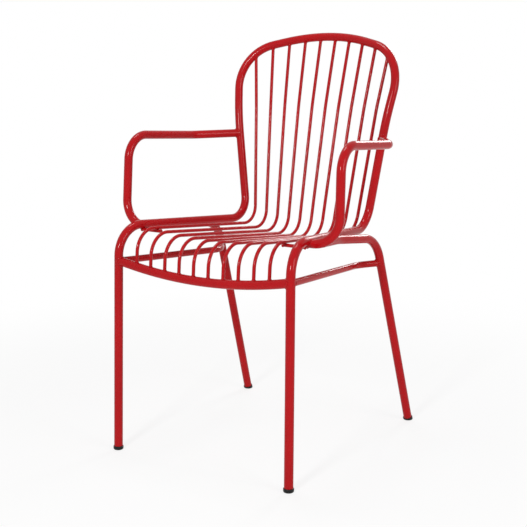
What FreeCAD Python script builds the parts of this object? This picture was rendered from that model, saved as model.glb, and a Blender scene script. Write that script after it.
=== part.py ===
import FreeCAD, Part
import math
import os

# Stacking armchair: bent steel tube and rod, butt welded, with plastic feet.
# Millimetres, +Z up, the front faces -Y. Points lie on tube axes, and are given for the right side.
# The origin is on the floor, under the middle of the chair's overall box.

V = FreeCAD.Vector
UP = V(0, 0, 1)

# Tube and rod stock, and the gap that a coped end leaves for the weld
TUBE_D = 18.0
TUBE_WALL = 1.5
STRETCHER_D = 14.0
STRETCHER_WALL = 1.2
ROD_D = 7.0
COPE_GAP = 0.2

# Seat sides, from the knees over the front legs to the foot of the back
KNEE_SPREAD = 410.0
KNEE_Y = -228.0
KNEE_HEIGHT = 469.0
KNEE_BEND = 59.0
SEAT_DEPTH = 382.0
SEAT_FALL = 30.0
SEAT_REAR_SPREAD = 306.0
SEAT_REAR_BEND = 49.0

# Front legs
FRONT_FEET_SPREAD = 418.0
FRONT_FEET_AHEAD = 17.0

# Back: from the seat up to the waist, where it tips back, on to the hoop's corners and its peak
WAIST_SPREAD = 374.0
WAIST_RISE = 230.0
WAIST_SETBACK = 20.0
WAIST_BEND = 430.0
HOOP_SPREAD = 415.0
HOOP_CORNER_RISE = 137.5
HOOP_CORNER_SETBACK = 36.0
HOOP_CORNER_BEND = 96.0
HOOP_PEAK_RISE = 46.5
HOOP_PEAK_SETBACK = 63.0
HOOP_PEAK_BEND = 291.0

# Front bow: a crossbar between the front legs that sags in one arc and carries the rods
BOW_BELOW_BEND = 12.0
BOW_SAG = 21.0

# Rods: up from the bow, over the front edge, along the seat and up the back
# An inset is how far inside the frame tube's axis the outermost rods run
ROD_COUNT = 10
ROD_FRONT_INSET = 46.4
ROD_FRONT_BEHIND_KNEE = 4.0
ROD_FRONT_DROP = 15.5
ROD_FRONT_DISH = 12.5
ROD_FRONT_BEND = 46.0
ROD_REAR_INSET = 24.75
ROD_REAR_AHEAD = 3.0
ROD_REAR_DROP = 28.0
ROD_REAR_DISH = 18.5
ROD_REAR_BEND = 42.0
ROD_WAIST_INSET = 34.0
ROD_WAIST_BEHIND = 41.0
ROD_WAIST_RISE = 21.0
ROD_WAIST_WRAP = 19.0
ROD_WAIST_BEND = 500.0
ROD_HOOP_INSET = 39.65

# Rear legs: up and forward from the foot, then forward and alongside the seat rail
REAR_FEET_SPREAD = 431.0
REAR_FEET_SETBACK = 91.0
HIP_OUTSET = 49.0
HIP_AHEAD = 46.0
HIP_DROP = 10.0
HIP_BEND = 70.0
RAIL_MEET_AHEAD = 199.0
RAIL_MEET_DROP = 17.0
RAIL_MEET_BEND = 150.0
RAIL_WELD_LENGTH = 75.0

# Arms: off the back upright, forward, down, and in to the seat rail
ARM_RISE = 189.0
ARM_ELBOW_SPREAD = 489.0
ARM_ELBOW_AHEAD = 76.0
ARM_ELBOW_BEND = 42.0
ARM_SPREAD = 508.0
ARM_FRONT_SETBACK = 98.0
ARM_FRONT_RISE = 15.0
ARM_FRONT_BEND = 51.0
ARM_LOW_SPREAD = 514.0
ARM_LOW_AHEAD = 13.0
ARM_LOW_DROP = 1.0
ARM_LOW_BEND = 50.0
ARM_END_PAST_BEND = 17.0
ARM_END_DROP = 4.0

# Side stretchers: from the front leg at the bow, inward, then out to the rear leg
STRETCHER_BELOW_BOW = 1.0
STRETCHER_FALL = 22.0
STRETCHER_KINK_SPREAD = 347.0
STRETCHER_KINK_AHEAD = 76.0
STRETCHER_BEND = 60.0

# Ties: a short rod from each seat rail in under the outermost rod
TIE_PAST_BEND = 4.0
TIE_PAST_ROD = 3.0

# Plastic feet
FOOT_LIP = 1.5
FOOT_HEIGHT = 8.0
FOOT_ROUNDING = 1.5
PLUG_LENGTH = 22.0
PLUG_CLEARANCE = 0.15
PLUG_TIP_CHAMFER = 1.5


def on_line(first, last, share):
    """The point at a share of the way from first to last."""
    return first + (last - first) * share


def at_height(first, last, height):
    """The point of the line through first and last at a height."""
    return on_line(first, last, (height - first.z) / (last.z - first.z))


def at_depth(first, last, depth):
    """The point of the line through first and last at a Y."""
    return on_line(first, last, (depth - first.y) / (last.y - first.y))


def mirrored(shape):
    return shape.mirror(V(0, 0, 0), V(1, 0, 0))


def bent_path(points, bends):
    """A path of straight runs, rounded at each inner point by its bend radius."""
    edges = []
    start = points[0]
    for before, corner, after, bend in zip(points, points[1:], points[2:], bends):
        back = (before - corner).normalize()
        ahead = (after - corner).normalize()
        half_turn = (math.pi - back.getAngle(ahead)) / 2
        setback = bend * math.tan(half_turn)
        inward = (back + ahead).normalize()
        centre = corner + inward * (bend / math.cos(half_turn))
        arc_start = corner + back * setback
        arc_end = corner + ahead * setback
        edges.append(Part.makeLine(start, arc_start))
        edges.append(Part.Arc(arc_start, centre - inward * bend, arc_end).toShape())
        start = arc_end
    edges.append(Part.makeLine(start, points[-1]))
    return Part.Wire(edges)


def bar(path, diameter):
    """A round bar along a path."""
    first = path.Edges[0]
    start = first.valueAt(first.FirstParameter)
    along = first.tangentAt(first.FirstParameter)
    ring = Part.Wire(Part.makeCircle(diameter / 2, start, along))
    return path.makePipeShell([ring], True, False)


def coper(path):
    """What a piece that butts on a frame, bow or leg tube of this path is cut back by."""
    return bar(path, TUBE_D + 2 * COPE_GAP)


def straight_coper(first, last):
    return coper(Part.Wire(Part.makeLine(first, last)))


def end_coper(path):
    """A straight stand-in for the first stretch of a gently curved path, from a little before it."""
    first = path.Edges[0]
    start = first.valueAt(first.FirstParameter)
    reach = first.tangentAt(first.FirstParameter) * 2 * TUBE_D
    return straight_coper(start - reach, start + reach)


def tube(path, diameter, wall, neighbours=()):
    """A tube along a path, with its ends coped to sit against its neighbours."""
    solid = bar(path, diameter)
    for neighbour in neighbours:
        solid = largest(solid.cut(neighbour))
    return largest(solid.cut(bar(path, diameter - 2 * wall)))


def largest(shape):
    """The biggest solid of a cut, without what was cut off past a neighbour."""
    return max(shape.Solids, key=lambda solid: solid.Volume)


# Axis points of the frame tube
KNEE = V(KNEE_SPREAD / 2, KNEE_Y, KNEE_HEIGHT)
FRONT_FOOT = V(FRONT_FEET_SPREAD / 2, KNEE.y - FRONT_FEET_AHEAD, 0)
SEAT_REAR = V(SEAT_REAR_SPREAD / 2, KNEE.y + SEAT_DEPTH, KNEE.z - SEAT_FALL)
WAIST = V(WAIST_SPREAD / 2, SEAT_REAR.y + WAIST_SETBACK, SEAT_REAR.z + WAIST_RISE)
HOOP_CORNER = V(HOOP_SPREAD / 2, WAIST.y + HOOP_CORNER_SETBACK, WAIST.z + HOOP_CORNER_RISE)
HOOP_PEAK = V(0, HOOP_CORNER.y + HOOP_PEAK_SETBACK, HOOP_CORNER.z + HOOP_PEAK_RISE)
KNEE_BEND_END_Y = KNEE.y + KNEE_BEND

# Axis points of the rear leg, and the height where the bow meets the front legs
REAR_FOOT = V(REAR_FEET_SPREAD / 2, SEAT_REAR.y + REAR_FEET_SETBACK, 0)
HIP = V(SEAT_REAR.x + HIP_OUTSET, SEAT_REAR.y - HIP_AHEAD, SEAT_REAR.z - HIP_DROP)
BOW_HEIGHT = KNEE.z - KNEE_BEND - BOW_BELOW_BEND


def left_of(point):
    return V(-point.x, point.y, point.z)


def leg_start(foot, above):
    """Where a leg tube ends on its foot."""
    return foot + (above - foot).normalize() * FOOT_HEIGHT


def frame_path():
    right = [leg_start(FRONT_FOOT, KNEE), KNEE, SEAT_REAR, WAIST, HOOP_CORNER]
    left = [left_of(point) for point in reversed(right)]
    bends = [KNEE_BEND, SEAT_REAR_BEND, WAIST_BEND, HOOP_CORNER_BEND]
    return bent_path(right + [HOOP_PEAK] + left, bends + [HOOP_PEAK_BEND] + bends[::-1])


def bow_path():
    end = at_height(FRONT_FOOT, KNEE, BOW_HEIGHT)
    return Part.Wire(Part.Arc(end, V(0, end.y, end.z - BOW_SAG), left_of(end)).toShape())


def crossing(path, x):
    """The highest point of a path at an X."""
    reach = 2 * HOOP_PEAK.z
    corners = [V(x, -reach, 0), V(x, reach, 0), V(x, reach, reach), V(x, -reach, reach), V(x, -reach, 0)]
    plane = Part.Face(Part.makePolygon(corners))
    return max((vertex.Point for vertex in path.section(plane).Vertexes), key=lambda point: point.z)


def rod_points(share, bow, frame):
    """Axis points of the rod at a share of the way from the middle of the chair to the outermost rod."""
    outwards = share ** 2
    front_x = share * (KNEE.x - ROD_FRONT_INSET)
    rear_x = share * (SEAT_REAR.x - ROD_REAR_INSET)
    waist_x = share * (WAIST.x - ROD_WAIST_INSET)
    front_z = KNEE.z - ROD_FRONT_DROP + ROD_FRONT_DISH * outwards
    rear_z = SEAT_REAR.z - ROD_REAR_DROP + ROD_REAR_DISH * outwards
    waist_y = WAIST.y + ROD_WAIST_BEHIND - ROD_WAIST_WRAP * outwards
    return [
        crossing(bow, front_x),
        V(front_x, KNEE.y + ROD_FRONT_BEHIND_KNEE, front_z),
        V(rear_x, SEAT_REAR.y - ROD_REAR_AHEAD, rear_z),
        V(waist_x, waist_y, WAIST.z + ROD_WAIST_RISE),
        crossing(frame, share * (HOOP_CORNER.x - ROD_HOOP_INSET)),
    ]


def rear_leg_path():
    """The run is tangent to the rail's outer lower side, and welded along it at its front."""
    rail_way = (KNEE - SEAT_REAR).normalize()
    outward = UP.cross(rail_way).normalize()
    drop = math.radians(RAIL_MEET_DROP)
    aside = outward * math.cos(drop) - rail_way.cross(outward) * math.sin(drop)
    meet = at_depth(SEAT_REAR, KNEE, SEAT_REAR.y - RAIL_MEET_AHEAD) + aside * TUBE_D
    end = meet + rail_way * RAIL_WELD_LENGTH
    return bent_path([leg_start(REAR_FOOT, HIP), HIP, meet, end], [HIP_BEND, RAIL_MEET_BEND])


def arm_path():
    rear = at_height(SEAT_REAR, WAIST, SEAT_REAR.z + ARM_RISE)
    end = at_depth(SEAT_REAR, KNEE, KNEE_BEND_END_Y + ARM_END_PAST_BEND) - UP * ARM_END_DROP
    elbow = V(ARM_ELBOW_SPREAD / 2, SEAT_REAR.y - ARM_ELBOW_AHEAD, rear.z)
    front = V(ARM_SPREAD / 2, KNEE.y + ARM_FRONT_SETBACK, rear.z + ARM_FRONT_RISE)
    low = V(ARM_LOW_SPREAD / 2, front.y - ARM_LOW_AHEAD, end.z - ARM_LOW_DROP)
    return bent_path([rear, elbow, front, low, end], [ARM_ELBOW_BEND, ARM_FRONT_BEND, ARM_LOW_BEND])


def stretcher_path():
    front = at_height(FRONT_FOOT, KNEE, BOW_HEIGHT - STRETCHER_BELOW_BOW)
    rear = at_height(REAR_FOOT, HIP, front.z - STRETCHER_FALL)
    kink = V(STRETCHER_KINK_SPREAD / 2, SEAT_REAR.y - STRETCHER_KINK_AHEAD, rear.z)
    return bent_path([front, kink, rear], [STRETCHER_BEND])


def tie_path(rod):
    """From inside the seat rail to just past the underside of the rod with these axis points."""
    depth = KNEE_BEND_END_Y + TIE_PAST_BEND
    start = at_depth(SEAT_REAR, KNEE, depth)
    end = at_depth(rod[1], rod[2], depth) - UP * ROD_D - V(ROD_D / 2 + TIE_PAST_ROD, 0, 0)
    return Part.Wire(Part.makeLine(V(start.x, depth, end.z), end))


def foot(tip, above):
    """A plastic foot: a collar cut flat on the floor, and a plug that goes up the leg's bore."""
    radius = TUBE_D / 2 + FOOT_LIP
    plug = TUBE_D / 2 - TUBE_WALL - PLUG_CLEARANCE
    top = FOOT_HEIGHT + PLUG_LENGTH
    outline = Part.makePolygon([
        V(0, 0, -radius),
        V(radius, 0, -radius),
        V(radius, 0, FOOT_HEIGHT - FOOT_ROUNDING),
        V(radius - FOOT_ROUNDING, 0, FOOT_HEIGHT),
        V(plug, 0, FOOT_HEIGHT),
        V(plug, 0, top - PLUG_TIP_CHAMFER),
        V(plug - PLUG_TIP_CHAMFER, 0, top),
        V(0, 0, top),
        V(0, 0, -radius),
    ])
    solid = Part.Face(outline).revolve(V(0, 0, 0), UP, 360)
    solid.Placement = FreeCAD.Placement(tip, FreeCAD.Rotation(UP, above - tip))
    below = Part.makeBox(4 * radius, 4 * radius, 4 * radius, tip - V(2 * radius, 2 * radius, 4 * radius))
    return solid.cut(below)


def both(name, shape):
    """The right-hand piece and its mirror image, each in a node of its own."""
    return {name + "_right": shape, name + "_left": mirrored(shape)}


def chair():
    frame_axis = frame_path()
    bow_axis = bow_path()
    front_leg = straight_coper(FRONT_FOOT, KNEE)
    rail = straight_coper(SEAT_REAR, KNEE)
    upright = straight_coper(SEAT_REAR, WAIST)
    rear_leg = straight_coper(REAR_FOOT, HIP)
    bow = coper(bow_axis)
    bow_end = end_coper(bow_axis)
    frame = coper(frame_axis)

    nodes = {
        "frame_tube": tube(frame_axis, TUBE_D, TUBE_WALL),
        "front_bow": tube(bow_axis, TUBE_D, TUBE_WALL, [front_leg, mirrored(front_leg)]),
    }
    nodes.update(both("rear_leg", tube(rear_leg_path(), TUBE_D, TUBE_WALL)))
    nodes.update(both("arm", tube(arm_path(), TUBE_D, TUBE_WALL, [upright, rail])))
    stretcher = tube(stretcher_path(), STRETCHER_D, STRETCHER_WALL, [front_leg, rear_leg, bow_end])
    nodes.update(both("side_stretcher", stretcher))

    for number in range(ROD_COUNT):
        points = rod_points(2 * number / (ROD_COUNT - 1) - 1, bow_axis, frame_axis)
        rod = bar(bent_path(points, [ROD_FRONT_BEND, ROD_REAR_BEND, ROD_WAIST_BEND]), ROD_D)
        nodes["rod_%02d" % (number + 1)] = largest(rod.cut(bow).cut(frame))

    outermost = rod_points(1, bow_axis, frame_axis)
    tie = largest(bar(tie_path(outermost), ROD_D).cut(rail))
    nodes["rod_ties"] = Part.Compound([tie, mirrored(tie)])

    front_foot = foot(FRONT_FOOT, KNEE)
    rear_foot = foot(REAR_FOOT, HIP)
    nodes["front_feet"] = Part.Compound([front_foot, mirrored(front_foot)])
    nodes["rear_feet"] = Part.Compound([rear_foot, mirrored(rear_foot)])
    return nodes


def main():
    nodes = chair()
    box = Part.Compound(list(nodes.values())).optimalBoundingBox(False, False)
    os.makedirs("parts", exist_ok=True)
    for name, shape in nodes.items():
        moved = shape.copy()
        moved.translate(V(0, -(box.YMin + box.YMax) / 2, 0))
        moved.exportStep("parts/" + name + ".step")
        print(name, len(moved.Solids), "solid", round(moved.Volume), "mm3", moved.isValid())
    print("overall", round(box.XLength, 1), round(box.YLength, 1), round(box.ZLength, 1))


main()
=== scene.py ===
"""Finishes the steel garden armchair: powder coat, weld beads, plastic feet and a pale stage."""

import math

import bmesh
import bpy
from mathutils import Matrix, Vector


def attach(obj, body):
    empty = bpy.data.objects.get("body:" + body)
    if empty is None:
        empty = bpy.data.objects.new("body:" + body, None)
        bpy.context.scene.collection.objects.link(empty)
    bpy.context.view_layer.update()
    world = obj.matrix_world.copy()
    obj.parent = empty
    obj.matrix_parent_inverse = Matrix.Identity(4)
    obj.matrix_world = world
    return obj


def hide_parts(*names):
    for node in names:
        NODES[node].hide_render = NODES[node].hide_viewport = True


bl_info = {
    "name": "Garden Armchair Finish",
    "version": (1, 0, 0),
    "blender": (4, 5, 0),
    "location": "View3D > Sidebar > Armchair",
    "description": "Coats the welded steel armchair, lays its weld beads and sets the studio",
    "category": "Object",
}

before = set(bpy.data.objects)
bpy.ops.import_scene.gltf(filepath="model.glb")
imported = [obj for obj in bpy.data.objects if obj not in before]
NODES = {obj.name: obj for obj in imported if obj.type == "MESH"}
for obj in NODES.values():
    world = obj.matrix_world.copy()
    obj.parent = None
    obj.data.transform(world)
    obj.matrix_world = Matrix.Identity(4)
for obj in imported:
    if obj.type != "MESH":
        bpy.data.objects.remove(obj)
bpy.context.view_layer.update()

RODS = sorted(name for name in NODES if name.startswith("rod_") and name != "rod_ties")
COPED_TUBES = ["front_bow", "arm_right", "arm_left", "side_stretcher_right", "side_stretcher_left"]
REAR_LEGS = ["rear_leg_right", "rear_leg_left"]
FEET = ["front_feet", "rear_feet"]
STEEL = sorted(set(NODES) - set(FEET))

UP = Vector((0.0, 0.0, 1.0))
WHITE = (1.0, 1.0, 1.0, 1.0)

# Lengths in metres that count as none when the CAD meshes are read
SAME_POINT = 2e-6
NO_LENGTH = 1e-6
ON_FLOOR = 1e-5

# The least turn across a rim's edge, and the fewest points on a rim
RIM_ANGLE = math.radians(38)
FEWEST_RIM_POINTS = 7

# How thin a stitch starts and how much it gains at each ring, as shares of its full width
STITCH_TIP = 0.35
STITCH_GAIN = 0.5
FEWEST_BEAD_RINGS = 12

# How far a groove's bead lies from the line where two tubes touch, as a share of their radius
GROOVE_SHARE = 0.38

SEAT_MIDDLE = Vector((0.0, 0.0, 0.45))
FLOOR_REACH = 6.0


class CoatSettings(bpy.types.PropertyGroup):
    colour: bpy.props.FloatVectorProperty(
        name="Coat colour",
        description="Colour of the powder coat",
        subtype="COLOR",
        size=3,
        min=0.0,
        max=1.0,
        default=(0.42, 0.0045, 0.0072),
    )
    deep_colour: bpy.props.FloatVectorProperty(
        name="Thick coat colour",
        description="Colour where the coat has flowed a little thicker",
        subtype="COLOR",
        size=3,
        min=0.0,
        max=1.0,
        default=(0.375, 0.0035, 0.006),
    )
    gloss: bpy.props.FloatProperty(
        name="Roughness",
        description="Mean roughness of the cured coat",
        min=0.05,
        max=0.9,
        default=0.15,
    )
    shine: bpy.props.FloatProperty(
        name="Shine",
        description="How strongly the coat mirrors what is in front of it",
        subtype="FACTOR",
        min=0.0,
        max=1.0,
        default=0.14,
    )
    flow_size: bpy.props.FloatProperty(
        name="Flow size",
        description="Width of a patch where the coat flowed thicker",
        subtype="DISTANCE",
        unit="LENGTH",
        min=0.01,
        max=1.0,
        default=0.11,
    )
    cure_size: bpy.props.FloatProperty(
        name="Cure size",
        description="Width of a patch that cured a little more or less glossy",
        subtype="DISTANCE",
        unit="LENGTH",
        min=0.01,
        max=1.0,
        default=0.03,
    )
    peel_size: bpy.props.FloatProperty(
        name="Peel size",
        description="Width of one ripple of the coat's orange peel",
        subtype="DISTANCE",
        unit="LENGTH",
        min=0.0005,
        max=0.01,
        default=0.0016,
    )
    peel_depth: bpy.props.FloatProperty(
        name="Peel depth",
        description="Height of the orange peel ripples",
        subtype="DISTANCE",
        unit="LENGTH",
        min=0.0,
        max=0.001,
        default=0.000012,
    )


class WeldSettings(bpy.types.PropertyGroup):
    tube_bead: bpy.props.FloatProperty(
        name="Tube bead",
        description="Half width of the bead round a tube's end",
        subtype="DISTANCE",
        unit="LENGTH",
        min=0.0002,
        max=0.005,
        default=0.0019,
    )
    rod_bead: bpy.props.FloatProperty(
        name="Rod bead",
        description="Half width of the bead round a rod's end",
        subtype="DISTANCE",
        unit="LENGTH",
        min=0.0002,
        max=0.005,
        default=0.0012,
    )
    ripple_pitch: bpy.props.FloatProperty(
        name="Ripple pitch",
        description="Distance from one ripple of a bead to the next",
        subtype="DISTANCE",
        unit="LENGTH",
        min=0.0005,
        max=0.01,
        default=0.0024,
    )
    ripple_share: bpy.props.FloatProperty(
        name="Ripple share",
        description="How much a ripple swells the bead, as a share of its half width",
        subtype="FACTOR",
        min=0.0,
        max=0.5,
        default=0.1,
    )
    stitch_length: bpy.props.FloatProperty(
        name="Stitch length",
        description="Length of one stitch of weld between a rear leg and the seat rail",
        subtype="DISTANCE",
        unit="LENGTH",
        min=0.005,
        max=0.05,
        default=0.015,
    )
    stitch_pitch: bpy.props.FloatProperty(
        name="Stitch pitch",
        description="From the start of one stitch to the start of the next",
        subtype="DISTANCE",
        unit="LENGTH",
        min=0.005,
        max=0.1,
        default=0.02,
    )
    stitch_count: bpy.props.IntProperty(
        name="Stitches",
        description="How many stitches lie in each groove beside the rail",
        min=1,
        max=6,
        default=3,
    )
    rail_side: bpy.props.FloatProperty(
        name="Rail side",
        description="How far below the seat rail's side the rear leg's run lies",
        subtype="ANGLE",
        unit="ROTATION",
        default=math.radians(17.0),
    )


class FootSettings(bpy.types.PropertyGroup):
    colour: bpy.props.FloatVectorProperty(
        name="Foot colour",
        description="Colour of the moulded plastic",
        subtype="COLOR",
        size=3,
        min=0.0,
        max=1.0,
        default=(0.002, 0.002, 0.0022),
    )
    roughness: bpy.props.FloatProperty(
        name="Roughness",
        description="Mean roughness of the moulded plastic",
        min=0.05,
        max=1.0,
        default=0.42,
    )
    shine: bpy.props.FloatProperty(
        name="Shine",
        description="How strongly the plastic mirrors what is in front of it",
        subtype="FACTOR",
        min=0.0,
        max=1.0,
        default=0.25,
    )
    scuff_size: bpy.props.FloatProperty(
        name="Scuff size",
        description="Width of a dull scuffed patch",
        subtype="DISTANCE",
        unit="LENGTH",
        min=0.001,
        max=0.1,
        default=0.006,
    )
    grain_size: bpy.props.FloatProperty(
        name="Grain size",
        description="Width of one pit of the mould's grain",
        subtype="DISTANCE",
        unit="LENGTH",
        min=0.0001,
        max=0.01,
        default=0.0006,
    )
    collar_radius: bpy.props.FloatProperty(
        name="Collar radius",
        description="Radius of the collar that the leg stands on",
        subtype="DISTANCE",
        unit="LENGTH",
        min=0.005,
        max=0.02,
        default=0.0105,
    )
    collar_height: bpy.props.FloatProperty(
        name="Collar height",
        description="From the floor to the end of the leg's tube, along the leg",
        subtype="DISTANCE",
        unit="LENGTH",
        min=0.004,
        max=0.02,
        default=0.008,
    )
    heel_radius: bpy.props.FloatProperty(
        name="Heel radius",
        description="Rounding of the collar's edge where it meets the floor",
        subtype="DISTANCE",
        unit="LENGTH",
        min=0.0005,
        max=0.004,
        default=0.0032,
    )
    plug_radius: bpy.props.FloatProperty(
        name="Plug radius",
        description="Radius of the plug in the leg's bore, over its barbs",
        subtype="DISTANCE",
        unit="LENGTH",
        min=0.003,
        max=0.0075,
        default=0.00735,
    )
    plug_height: bpy.props.FloatProperty(
        name="Plug height",
        description="From the floor to the tip of the plug, along the leg",
        subtype="DISTANCE",
        unit="LENGTH",
        min=0.01,
        max=0.06,
        default=0.03,
    )
    front_lean: bpy.props.FloatVectorProperty(
        name="Front leg's way",
        description="The way up the right front leg",
        subtype="DIRECTION",
        size=3,
        default=(-0.0085, 0.0362, 0.9993),
    )
    rear_lean: bpy.props.FloatVectorProperty(
        name="Rear leg's way",
        description="The way up the right rear leg",
        subtype="DIRECTION",
        size=3,
        default=(-0.03, -0.3041, 0.9522),
    )


class StageSettings(bpy.types.PropertyGroup):
    floor_colour: bpy.props.FloatVectorProperty(
        name="Floor colour",
        description="Colour of the plain floor and backdrop",
        subtype="COLOR",
        size=3,
        min=0.0,
        max=1.0,
        default=(0.9, 0.9, 0.9),
    )
    shadow_reach: bpy.props.FloatProperty(
        name="Shadow reach",
        description="How far from the chair's middle the ground starts to fade to white",
        subtype="DISTANCE",
        unit="LENGTH",
        min=0.0,
        max=5.0,
        default=0.5,
    )
    white_from: bpy.props.FloatProperty(
        name="White from",
        description="How far from the chair's middle the ground is plain white",
        subtype="DISTANCE",
        unit="LENGTH",
        min=0.1,
        max=6.0,
        default=1.5,
    )
    ground_glow: bpy.props.FloatProperty(
        name="Ground glow",
        description="How white the ground is shown under the chair, against its lit colour",
        subtype="FACTOR",
        min=0.0,
        max=1.0,
        default=0.8,
    )
    air_strength: bpy.props.FloatProperty(
        name="Air",
        description="Strength of the even light from all round",
        min=0.0,
        max=1.0,
        default=0.28,
    )
    azimuth: bpy.props.FloatProperty(
        name="Azimuth",
        description="How far round the chair the camera stands",
        subtype="ANGLE",
        unit="ROTATION",
        default=math.radians(33.7),
    )
    elevation: bpy.props.FloatProperty(
        name="Elevation",
        description="How far above the horizon the camera stands",
        subtype="ANGLE",
        unit="ROTATION",
        default=math.radians(10.2),
    )
    roll: bpy.props.FloatProperty(
        name="Roll",
        description="Turn of the camera about its line of sight",
        subtype="ANGLE",
        unit="ROTATION",
        default=math.radians(-0.4),
    )
    distance: bpy.props.FloatProperty(
        name="Distance",
        description="From the camera to the point it looks at",
        subtype="DISTANCE",
        unit="LENGTH",
        min=0.5,
        max=10.0,
        default=2.354,
    )
    target: bpy.props.FloatVectorProperty(
        name="Target",
        description="The point the camera looks at",
        subtype="TRANSLATION",
        unit="LENGTH",
        size=3,
        default=(-0.0145, -0.0052, 0.42),
    )
    lens: bpy.props.FloatProperty(
        name="Lens",
        description="Focal length on a 36 mm sensor, in millimetres",
        min=10.0,
        max=300.0,
        default=76.62,
    )
    shift: bpy.props.FloatVectorProperty(
        name="Shift",
        description="The lens shift to the right and up, as shares of the frame",
        size=2,
        default=(0.0063, -0.0425),
    )


class Field:
    """A node's output that takes part in sums, so that shader maths reads as plain arithmetic."""

    def __init__(self, graph, socket):
        self.graph = graph
        self.socket = socket

    def _sum(self, operation, left, right):
        made = self.graph.node("ShaderNodeMath", {"operation": operation}, {0: left, 1: right})
        return made.first

    def __add__(self, other):
        return self._sum("ADD", self, other)

    __radd__ = __add__

    def __sub__(self, other):
        return self._sum("SUBTRACT", self, other)

    def __rsub__(self, other):
        return self._sum("SUBTRACT", other, self)

    def __mul__(self, other):
        return self._sum("MULTIPLY", self, other)

    __rmul__ = __mul__


class Made:
    """A node just made, whose outputs are asked for by name."""

    def __init__(self, graph, node):
        self.graph = graph
        self.node = node

    @property
    def first(self):
        return Field(self.graph, self.node.outputs[0])

    def __getitem__(self, name):
        return Field(self.graph, self.node.outputs[name])


class Graph:
    """The node tree of a material or world, emptied and built again."""

    def __init__(self, owner):
        owner.use_nodes = True
        self.tree = owner.node_tree
        self.tree.nodes.clear()

    def node(self, kind, settings=None, inputs=None):
        """Adds a node: its settings first, then the value or link of each input."""
        made = self.tree.nodes.new(kind)
        for name, value in (settings or {}).items():
            setattr(made, name, value)
        for name, value in (inputs or {}).items():
            socket = made.inputs[name]
            if isinstance(value, Field):
                self.tree.links.new(value.socket, socket)
            else:
                socket.default_value = value
        return Made(self, made)

    def noise(self, place, size, detail=2.0):
        """Noise from 0 to 1 whose features are about this size in metres."""
        inputs = {"Vector": place, "Scale": 1.0 / size, "Detail": detail, "Roughness": 0.5}
        return self.node("ShaderNodeTexNoise", {}, inputs)["Fac"]

    def mix_colours(self, share, first, second):
        inputs = {0: share, 6: first, 7: second}
        made = self.node("ShaderNodeMix", {"data_type": "RGBA", "clamp_factor": True}, inputs)
        return Field(self, made.node.outputs[2])


def rgba(colour):
    return (*colour, 1.0)


def new_material(name):
    material = bpy.data.materials.new(name)
    return material, Graph(material)


def powder_coat(settings):
    """Cured glossy powder coat: faint orange peel, and a deeper red where it flowed thicker."""
    thin_below = 0.35
    thickening = 3.0
    gloss_spread = 0.12
    grain_share = 0.15
    material, graph = new_material("red_powder_coat")
    place = graph.node("ShaderNodeTexCoord")["Object"]
    flow = graph.noise(place, settings.flow_size, 3.0)
    cure = graph.noise(place, settings.cure_size)
    peel = graph.noise(place, settings.peel_size)
    grain = graph.noise(place, settings.peel_size * 0.3, 1.0)
    thick = (flow - thin_below) * thickening
    colour = graph.mix_colours(thick, rgba(settings.colour), rgba(settings.deep_colour))
    bump = graph.node(
        "ShaderNodeBump",
        {},
        {
            "Strength": 1.0,
            "Distance": settings.peel_depth,
            "Height": peel * (1.0 - grain_share) + grain * grain_share,
        },
    )
    shader = graph.node(
        "ShaderNodeBsdfPrincipled",
        {},
        {
            "Base Color": colour,
            "Roughness": (cure - 0.5) * gloss_spread + settings.gloss,
            "Normal": bump["Normal"],
            "Specular IOR Level": settings.shine,
        },
    )
    graph.node("ShaderNodeOutputMaterial", {}, {"Surface": shader["BSDF"]})
    return material


def moulded_plastic(settings):
    """Black moulded plastic with a fine spark-eroded grain and scuffs that dull it."""
    grain_depth = 0.00004
    scuff_contrast = 2.2
    scuff_spread = 0.25
    dust = 0.001
    material, graph = new_material("black_moulded_plastic")
    place = graph.node("ShaderNodeTexCoord")["Object"]
    scuff = graph.noise(place, settings.scuff_size, 4.0)
    grain = graph.noise(place, settings.grain_size, 1.0)
    dusty = tuple(2.0 * channel + dust for channel in settings.colour)
    scuffed = (scuff - 0.5) * scuff_contrast
    colour = graph.mix_colours(scuffed, rgba(settings.colour), rgba(dusty))
    bump = graph.node(
        "ShaderNodeBump", {}, {"Strength": 1.0, "Distance": grain_depth, "Height": grain}
    )
    shader = graph.node(
        "ShaderNodeBsdfPrincipled",
        {},
        {
            "Base Color": colour,
            "Roughness": (scuff - 0.5) * scuff_spread + settings.roughness,
            "Specular IOR Level": settings.shine,
            "Normal": bump["Normal"],
        },
    )
    graph.node("ShaderNodeOutputMaterial", {}, {"Surface": shader["BSDF"]})
    return material


def coated_steel():
    """The one powder coat material, made when it is first asked for."""
    found = bpy.data.materials.get("red_powder_coat")
    return found or powder_coat(bpy.context.scene.armchair_coat)


def wear(piece, material):
    piece.data.materials.clear()
    piece.data.materials.append(material)


def rim_loops(node):
    """The closed loops of sharp edges on a CAD node, each its points in order, longest first."""
    mesh = bmesh.new()
    mesh.from_mesh(node.data)
    bmesh.ops.remove_doubles(mesh, verts=mesh.verts, dist=SAME_POINT)
    bmesh.ops.dissolve_degenerate(mesh, edges=mesh.edges, dist=NO_LENGTH)
    sharp = without_spurs(
        edge
        for edge in mesh.edges
        if len(edge.link_faces) == 2 and edge.calc_face_angle(0.0) > RIM_ANGLE
    )
    loops = []
    while sharp:
        first = next(iter(sharp))
        del sharp[first]
        start, here = first.verts
        points = [start.co.copy(), here.co.copy()]
        while here != start:
            ways = [edge for edge in here.link_edges if edge in sharp]
            if not ways:
                break
            bends = [bend_at(points, edge.other_vert(here).co) for edge in ways]
            ahead = ways[bends.index(min(bends))]
            del sharp[ahead]
            here = ahead.other_vert(here)
            points.append(here.co.copy())
        if here == start and len(points) >= FEWEST_RIM_POINTS:
            loops.append(points[:-1])
    mesh.free()
    return sorted(loops, key=girth, reverse=True)


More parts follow.
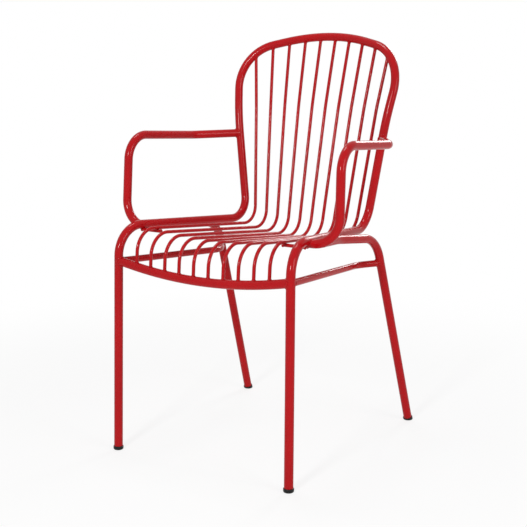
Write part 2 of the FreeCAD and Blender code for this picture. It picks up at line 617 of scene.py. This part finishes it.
def without_spurs(edges):
    """The edges, kept in their order, without the chains of them that lead nowhere."""
    kept = dict.fromkeys(edges)
    loose = True
    while loose:
        loose = [
            edge
            for edge in kept
            if any(sum(near in kept for near in end.link_edges) == 1 for end in edge.verts)
        ]
        for edge in loose:
            del kept[edge]
    return kept


def bend_at(points, following):
    """How far a line of points turns at its last point on the way to the following one."""
    return (points[-1] - points[-2]).angle(following - points[-1], 0.0)


def girth(loop):
    return sum((after - before).length for before, after in zip(loop, loop[1:] + loop[:1]))


def evenly(loop, step):
    """A closed loop's points again, at even steps along it."""
    count = max(FEWEST_BEAD_RINGS, round(girth(loop) / step))
    stride = girth(loop) / count
    points = []
    travelled = 0.0
    for before, after in zip(loop, loop[1:] + loop[:1]):
        length = (after - before).length
        while len(points) < count and len(points) * stride <= travelled + length:
            share = (len(points) * stride - travelled) / length if length else 0.0
            points.append(before.lerp(after, share))
        travelled += length
    return points


def smoothed(loop):
    around = zip(loop[-1:] + loop[:-1], loop, loop[1:] + loop[:1])
    return [(before + 2 * here + after) / 4 for before, here, after in around]


def lay_bead(mesh, line, half_width, settings, closed=True, sides=8):
    """Sweeps a rippled round bead along a line of points, into a mesh being built."""
    rings = []
    travelled = 0.0
    last = len(line) - 1
    side = None
    for number, here in enumerate(line):
        before = line[number - 1] if closed or number else here
        after = line[(number + 1) % len(line)] if closed or number < last else here
        along = (after - before).normalized()
        if side is None:
            side = along.orthogonal().normalized()
        side = (side - along * side.dot(along)).normalized()
        up = along.cross(side)
        ripple = math.sin(math.tau * travelled / settings.ripple_pitch)
        radius = half_width * (1.0 + settings.ripple_share * ripple)
        if not closed:
            radius *= min(1.0, STITCH_TIP + STITCH_GAIN * min(number, last - number))
        ring = []
        for corner in range(sides):
            angle = math.tau * corner / sides
            offset = side * math.cos(angle) + up * math.sin(angle)
            ring.append(mesh.verts.new(here + offset * radius))
        rings.append(ring)
        travelled += (after - here).length
    pairs = list(zip(rings, rings[1:]))
    if closed:
        pairs.append((rings[-1], turned_to_meet(rings[-1], rings[0])))
    for ring, following in pairs:
        for corner in range(sides):
            beyond = (corner + 1) % sides
            mesh.faces.new((ring[corner], ring[beyond], following[beyond], following[corner]))
    if not closed:
        mesh.faces.new(rings[0][::-1])
        mesh.faces.new(rings[-1])


def turned_to_meet(ring, other):
    """The other ring's corners, started at whichever lies nearest this ring's first."""
    nearest = min(range(len(other)), key=lambda corner: (other[corner].co - ring[0].co).length)
    return other[nearest:] + other[:nearest]


def ring_with_bead(mesh, loop, half_width, settings):
    """Lays a bead round a rim, into a mesh being built."""
    lay_bead(mesh, smoothed(evenly(loop, half_width)), half_width, settings)


def finished_piece(name, mesh, material):
    """A smooth-shaded object from a mesh being built, that moves with the chair."""
    bmesh.ops.recalc_face_normals(mesh, faces=mesh.faces)
    data = bpy.data.meshes.new(name)
    mesh.to_mesh(data)
    mesh.free()
    data.polygons.foreach_set("use_smooth", [True] * len(data.polygons))
    piece = bpy.data.objects.new(name, data)
    bpy.context.scene.collection.objects.link(piece)
    wear(piece, material)
    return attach(piece, "root")


class ARMCHAIR_OT_coat_steel(bpy.types.Operator):
    """Gives every tube and rod its powder coat"""

    bl_idname = "armchair.coat_steel"
    bl_label = "Coat the Steel"

    def execute(self, context):
        for name in STEEL:
            wear(NODES[name], coated_steel())
        return {"FINISHED"}


class ARMCHAIR_OT_weld_rods(bpy.types.Operator):
    """Lays a small bead round both ends of every rod and tie"""

    bl_idname = "armchair.weld_rods"
    bl_label = "Weld the Rods"

    def execute(self, context):
        settings = context.scene.armchair_weld
        mesh = bmesh.new()
        loops = [loop for name in RODS for loop in rim_loops(NODES[name])[:2]]
        for loop in loops + rim_loops(NODES["rod_ties"])[:4]:
            ring_with_bead(mesh, loop, settings.rod_bead, settings)
        finished_piece("rod_welds", mesh, coated_steel())
        return {"FINISHED"}


class ARMCHAIR_OT_weld_tubes(bpy.types.Operator):
    """Lays a bead round each coped end of the arms, the front bow and the stretchers"""

    bl_idname = "armchair.weld_tubes"
    bl_label = "Weld the Tubes"

    def execute(self, context):
        settings = context.scene.armchair_weld
        mesh = bmesh.new()
        for name in COPED_TUBES:
            for loop in rim_loops(NODES[name])[:2]:
                ring_with_bead(mesh, loop, settings.tube_bead, settings)
        finished_piece("tube_welds", mesh, coated_steel())
        return {"FINISHED"}


def middle(points):
    return sum(points, Vector()) / len(points)


class ARMCHAIR_OT_weld_legs(bpy.types.Operator):
    """Lays stitches of weld in both grooves between each rear leg's run and the seat rail"""

    bl_idname = "armchair.weld_legs"
    bl_label = "Weld the Rear Legs"

    def execute(self, context):
        settings = context.scene.armchair_weld
        mesh = bmesh.new()
        for name in REAR_LEGS:
            rim = max(rim_loops(NODES[name])[:2], key=lambda loop: middle(loop).z)
            end = middle(rim)
            ahead = (rim[0] - end).cross(rim[len(rim) // 4] - end).normalized()
            ahead *= math.copysign(1.0, -ahead.y)
            outer = ahead.cross(UP).normalized()
            outer *= math.copysign(1.0, outer.x * end.x)
            above = ahead.cross(outer)
            above *= math.copysign(1.0, above.z)
            aside = outer * math.cos(settings.rail_side) - above * math.sin(settings.rail_side)
            radius = (rim[0] - end).length
            groove = outer * math.sin(settings.rail_side) + above * math.cos(settings.rail_side)
            for way in (groove, -groove):
                start = end - aside * radius + way * radius * GROOVE_SHARE
                self.stitch(mesh, start, -ahead, settings)
        finished_piece("rear_leg_welds", mesh, coated_steel())
        return {"FINISHED"}

    def stitch(self, mesh, start, way, settings):
        steps = round(settings.stitch_length / settings.tube_bead)
        for number in range(settings.stitch_count):
            first = start + way * (settings.stitch_pitch * number + settings.tube_bead)
            line = [first + way * settings.tube_bead * step for step in range(steps + 1)]
            lay_bead(mesh, line, settings.tube_bead, settings, closed=False)


def quarter(radius, height, bend, first, last, steps=6):
    """Radius and height of the points of a rounded corner, between two angles in degrees."""
    angles = [math.radians(first + (last - first) * step / steps) for step in range(steps + 1)]
    return [(radius + bend * math.cos(angle), height + bend * math.sin(angle)) for angle in angles]


def foot_outline(settings):
    """A foot's outline, upwards: radius, height, and whether that height is from the floor."""
    heel = settings.heel_radius
    lip = 0.0012
    root = settings.plug_radius - 0.0007
    tip = settings.plug_radius - 0.0012
    barbs = 4
    barb_rise = 0.0004
    barb_top = 0.0012
    underside = quarter(settings.collar_radius - heel, heel, heel, -90, 0)
    shoulder = quarter(settings.collar_radius - lip, settings.collar_height - lip, lip, 0, 90)
    outline = [(radius, height, True) for radius, height in underside]
    outline += [(radius, height, False) for radius, height in shoulder]
    outline.append((root, settings.collar_height, False))
    pitch = (settings.plug_height - settings.collar_height) / (barbs + 1)
    for barb in range(barbs):
        base = settings.collar_height + pitch * (barb + 0.4)
        outline.append((root, base, False))
        outline.append((settings.plug_radius, base + barb_rise, False))
        outline.append((settings.plug_radius, base + barb_top, False))
        outline.append((root, base + pitch * 0.7, False))
    outline.append((tip, settings.plug_height, False))
    return outline


def turn_foot(mesh, stand, way, outline, sides=48):
    """Turns a foot about its leg's line, its underside kept level on the floor."""
    across = way.orthogonal().normalized()
    beyond = way.cross(across)
    rings = []
    for radius, height, from_floor in outline:
        ring = []
        for corner in range(sides):
            angle = math.tau * corner / sides
            out = (across * math.cos(angle) + beyond * math.sin(angle)) * radius
            along = (height - out.z) / way.z if from_floor else height
            ring.append(mesh.verts.new(stand + out + way * along))
        rings.append(ring)
    for ring, following in zip(rings, rings[1:]):
        for corner in range(sides):
            after = (corner + 1) % sides
            mesh.faces.new((ring[corner], ring[after], following[after], following[corner]))
    mesh.faces.new(rings[0][::-1])
    mesh.faces.new(rings[-1])


def stands(node):
    """Each side, 1 or -1, with the middle of that foot's print on the floor."""
    prints = [vertex.co for vertex in node.data.vertices if vertex.co.z < ON_FLOOR]
    for side in (1, -1):
        spots = [spot for spot in prints if spot.x * side > 0]
        low = Vector(min(spot[axis] for spot in spots) for axis in range(3))
        high = Vector(max(spot[axis] for spot in spots) for axis in range(3))
        yield side, (low + high) / 2


class ARMCHAIR_OT_fit_feet(bpy.types.Operator):
    """Moulds the feet, each a round-heeled collar and a barbed plug, in place of the plain ones"""

    bl_idname = "armchair.fit_feet"
    bl_label = "Fit the Feet"

    def execute(self, context):
        settings = context.scene.armchair_feet
        plastic = moulded_plastic(settings)
        outline = foot_outline(settings)
        for name, lean in zip(FEET, (settings.front_lean, settings.rear_lean)):
            mesh = bmesh.new()
            for side, stand in stands(NODES[name]):
                way = Vector((lean[0] * side, lean[1], lean[2])).normalized()
                turn_foot(mesh, stand, way, outline)
            feet = finished_piece(name + "_moulded", mesh, plastic)
            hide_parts(name)
        return {"FINISHED"}


def shown_white(graph):
    """1 for the rays that show the background: the camera's, and off gloss or through glass."""
    seen = graph.node("ShaderNodeLightPath")
    return seen["Is Camera Ray"] + seen["Is Glossy Ray"] + seen["Is Transmission Ray"]


def pale_ground(settings):
    """Plain pale ground, shown nearly white with the chair's shadow, and white further off."""
    material, graph = new_material("pale_ground")
    place = graph.node("ShaderNodeTexCoord")["Object"]
    away = graph.node("ShaderNodeVectorMath", {"operation": "LENGTH"}, {0: place})["Value"]
    fade = graph.node(
        "ShaderNodeMapRange",
        {"interpolation_type": "SMOOTHSTEP"},
        {
            "Value": away,
            "From Min": settings.shadow_reach,
            "From Max": settings.white_from,
            "To Min": settings.ground_glow,
            "To Max": 1.0,
        },
    )
    lit = graph.node("ShaderNodeBsdfDiffuse", {}, {"Color": rgba(settings.floor_colour)})
    glow = graph.node("ShaderNodeEmission", {}, {"Color": WHITE, "Strength": 1.0})
    surface = graph.node(
        "ShaderNodeMixShader",
        {},
        {0: shown_white(graph) * fade["Result"], 1: lit["BSDF"], 2: glow["Emission"]},
    )
    graph.node("ShaderNodeOutputMaterial", {}, {"Surface": surface["Shader"]})
    return material


def flat_quad(name, corners, material):
    mesh = bmesh.new()
    mesh.faces.new([mesh.verts.new(corner) for corner in corners])
    data = bpy.data.meshes.new(name)
    mesh.to_mesh(data)
    mesh.free()
    quad = bpy.data.objects.new(name, data)
    bpy.context.scene.collection.objects.link(quad)
    wear(quad, material)


def soft_lamp(name, azimuth, elevation, distance, width, height, power):
    """An area lamp that faces the seat, placed by azimuth and elevation in degrees."""
    data = bpy.data.lights.new(name, "AREA")
    data.shape = "RECTANGLE"
    data.size = width
    data.size_y = height
    data.energy = power
    lamp = bpy.data.objects.new(name, data)
    back = outward(math.radians(azimuth), math.radians(elevation))
    lamp.location = SEAT_MIDDLE + back * distance
    lamp.rotation_mode = "QUATERNION"
    lamp.rotation_quaternion = (-back).to_track_quat("-Z", "Y")
    bpy.context.scene.collection.objects.link(lamp)


def outward(azimuth, elevation):
    """From the chair towards an azimuth, where 0 is the chair's front, and an elevation."""
    level = math.cos(elevation)
    return Vector((math.sin(azimuth) * level, -math.cos(azimuth) * level, math.sin(elevation)))


class ARMCHAIR_OT_set_stage(bpy.types.Operator):
    """Sets the pale floor, the soft lamps and the camera"""

    bl_idname = "armchair.set_stage"
    bl_label = "Set the Stage"

    def execute(self, context):
        settings = context.scene.armchair_stage
        context.scene.view_settings.view_transform = "Standard"
        ground = pale_ground(settings)
        corners = [(-1, -1), (1, -1), (1, 1), (-1, 1)]
        flat_quad("floor", [(x * FLOOR_REACH, y * FLOOR_REACH, 0) for x, y in corners], ground)
        soft_lamp(
            "front_lamp",
            azimuth=8,
            elevation=22,
            distance=3.0,
            width=0.42,
            height=0.42,
            power=45,
        )
        soft_lamp(
            "side_lamp",
            azimuth=80,
            elevation=20,
            distance=3.0,
            width=1.3,
            height=1.3,
            power=30,
        )
        soft_lamp(
            "back_lamp",
            azimuth=181,
            elevation=25,
            distance=2.6,
            width=0.7,
            height=0.55,
            power=18,
        )
        soft_lamp(
            "top_lamp",
            azimuth=250,
            elevation=78,
            distance=2.0,
            width=0.6,
            height=0.6,
            power=12,
        )
        world = bpy.data.worlds.new("studio")
        context.scene.world = world
        graph = Graph(world)
        air_light = {"Color": WHITE, "Strength": settings.air_strength}
        air = graph.node("ShaderNodeBackground", {}, air_light)
        white = graph.node("ShaderNodeBackground", {}, {"Color": WHITE, "Strength": 1.0})
        mixed = graph.node(
            "ShaderNodeMixShader",
            {},
            {0: shown_white(graph), 1: air["Background"], 2: white["Background"]},
        )
        graph.node("ShaderNodeOutputWorld", {}, {"Surface": mixed["Shader"]})
        self.place_camera(context, settings)
        return {"FINISHED"}

    def place_camera(self, context, settings):
        data = bpy.data.cameras.new("camera")
        data.sensor_width = 36.0
        data.lens = settings.lens
        data.shift_x, data.shift_y = settings.shift
        camera = bpy.data.objects.new("camera", data)
        back = outward(settings.azimuth, settings.elevation)
        camera.location = Vector(settings.target) + back * settings.distance
        camera.rotation_mode = "QUATERNION"
        level = (-back).to_track_quat("-Z", "Y").to_matrix().to_4x4()
        rolled = level @ Matrix.Rotation(settings.roll, 4, "Z")
        camera.rotation_quaternion = rolled.to_quaternion()
        context.scene.collection.objects.link(camera)
        context.scene.camera = camera


class ARMCHAIR_PT_panel(bpy.types.Panel):
    """The armchair's finishing steps, in order"""

    bl_idname = "ARMCHAIR_PT_panel"
    bl_label = "Garden Armchair"
    bl_space_type = "VIEW_3D"
    bl_region_type = "UI"
    bl_category = "Armchair"

    def draw(self, context):
        for step in STEPS:
            self.layout.operator(step.bl_idname)


STEPS = (
    ARMCHAIR_OT_coat_steel,
    ARMCHAIR_OT_weld_rods,
    ARMCHAIR_OT_weld_tubes,
    ARMCHAIR_OT_weld_legs,
    ARMCHAIR_OT_fit_feet,
    ARMCHAIR_OT_set_stage,
)
SETTINGS = {
    "armchair_coat": CoatSettings,
    "armchair_weld": WeldSettings,
    "armchair_feet": FootSettings,
    "armchair_stage": StageSettings,
}


def register():
    for group in SETTINGS.values():
        bpy.utils.register_class(group)
    for name, group in SETTINGS.items():
        setattr(bpy.types.Scene, name, bpy.props.PointerProperty(type=group))
    for item in STEPS + (ARMCHAIR_PT_panel,):
        bpy.utils.register_class(item)


def unregister():
    for item in (ARMCHAIR_PT_panel,) + STEPS[::-1]:
        bpy.utils.unregister_class(item)
    for name, group in SETTINGS.items():
        delattr(bpy.types.Scene, name)
        bpy.utils.unregister_class(group)


def main():
    register()
    bpy.ops.armchair.coat_steel()
    bpy.ops.armchair.weld_rods()
    bpy.ops.armchair.weld_tubes()
    bpy.ops.armchair.weld_legs()
    bpy.ops.armchair.fit_feet()
    bpy.ops.armchair.set_stage()


if __name__ == "__main__":
    main()
